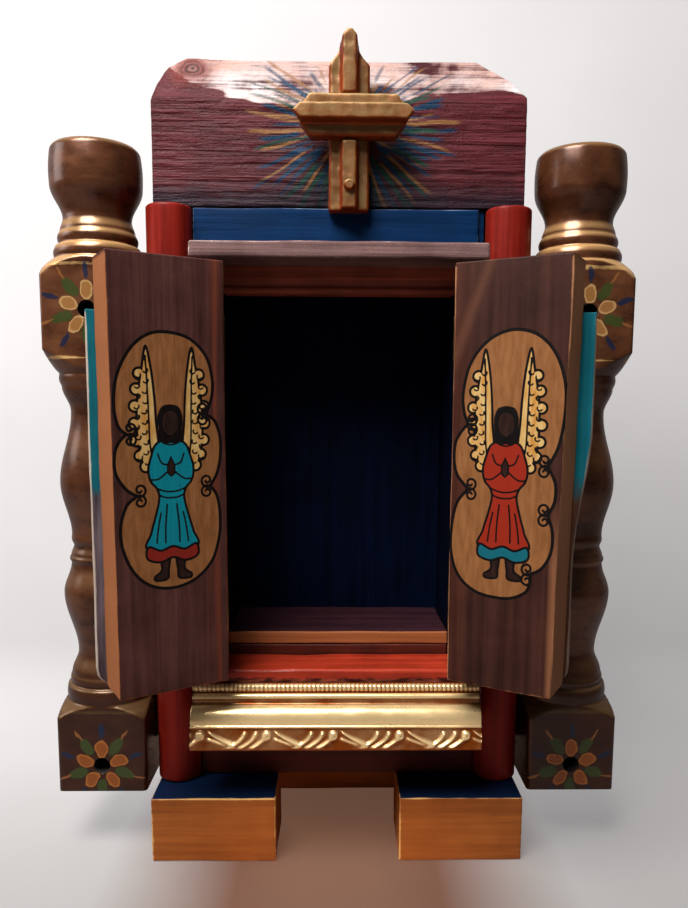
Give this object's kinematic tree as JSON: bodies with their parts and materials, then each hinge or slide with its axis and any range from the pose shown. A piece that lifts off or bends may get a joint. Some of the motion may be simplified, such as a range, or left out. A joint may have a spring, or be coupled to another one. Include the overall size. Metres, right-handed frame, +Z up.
{
  "type": "folding shrine box",
  "caption": "Small devotional wall or table shrine: a hollow niche with hinged thick doors, turned posts, block feet and a header board bearing a cross.",
  "frame": {"origin": "on the ground under the middle of the whole shrine, its doors standing open as at rest", "axes": "+Z up, the front with the niche faces -Y, +X to the right of someone facing the front"},
  "size_m": [0.323, 0.1482, 0.455],
  "materials": {
    "gold_paint": "painted antique gold over wood, satin",
    "gold_leaf": "gilded gesso on a wooden frame moulding",
    "bronze_paint": "bronze paint rubbed over dark brown, glossy",
    "navy_paint": "navy paint, satin",
    "red_paint": "brick red paint, satin",
    "maroon_paint": "thin maroon paint over rough grain",
    "walnut": "oiled walnut with a painted ochre panel",
    "bare_wood": "weathered bare wood",
    "teal_paint": "teal paint over brown",
    "brass": "dull brass"
  },
  "bodies": {
    "box": {"foot_left": "gold_paint", "foot_right": "gold_paint", "side_spacer_left": "gold_paint", "side_spacer_right": "gold_paint", "cross_upright": "gold_paint", "cross_arm": "gold_paint", "cross_button": "gold_paint", "rear_foot": "bronze_paint", "post_left": "bronze_paint", "post_right": "bronze_paint", "base_board": "maroon_paint", "niche_floor": "maroon_paint", "lower_front_board": "maroon_paint", "head_rail": "maroon_paint", "header_board": "maroon_paint", "side_board_left": "navy_paint", "side_board_right": "navy_paint", "back_board": "navy_paint", "top_board": "navy_paint", "top_front_board": "navy_paint", "top_end_piece": "navy_paint", "stile_left": "navy_paint", "stile_right": "navy_paint", "lintel_strip": "bare_wood", "front_rail": "red_paint", "column_left": "red_paint", "column_right": "red_paint", "gold_moulding": "gold_leaf", "hinge_frame_leaf_left_lower": "brass", "hinge_frame_leaf_left_upper": "brass", "hinge_frame_leaf_right_lower": "brass", "hinge_frame_leaf_right_upper": "brass"},
    "left_door": {"door_plank_left": "walnut", "door_panel_left": "teal_paint", "hinge_door_leaf_left_lower": "brass", "hinge_door_leaf_left_upper": "brass"},
    "right_door": {"door_plank_right": "walnut", "door_panel_right": "teal_paint", "hinge_door_leaf_right_lower": "brass", "hinge_door_leaf_right_upper": "brass"}
  },
  "joints": [
    {"name": "left_door_hinge", "type": "hinge", "parent": "box", "child": "left_door", "pos_m": [-0.0672, -0.02145, 0.222], "axis": [0, 0, 1], "range_deg": [-30, 150]},
    {"name": "right_door_hinge", "type": "hinge", "parent": "box", "child": "right_door", "pos_m": [0.0672, -0.02145, 0.222], "axis": [0, 0, -1], "range_deg": [-30, 150]}
  ]
}
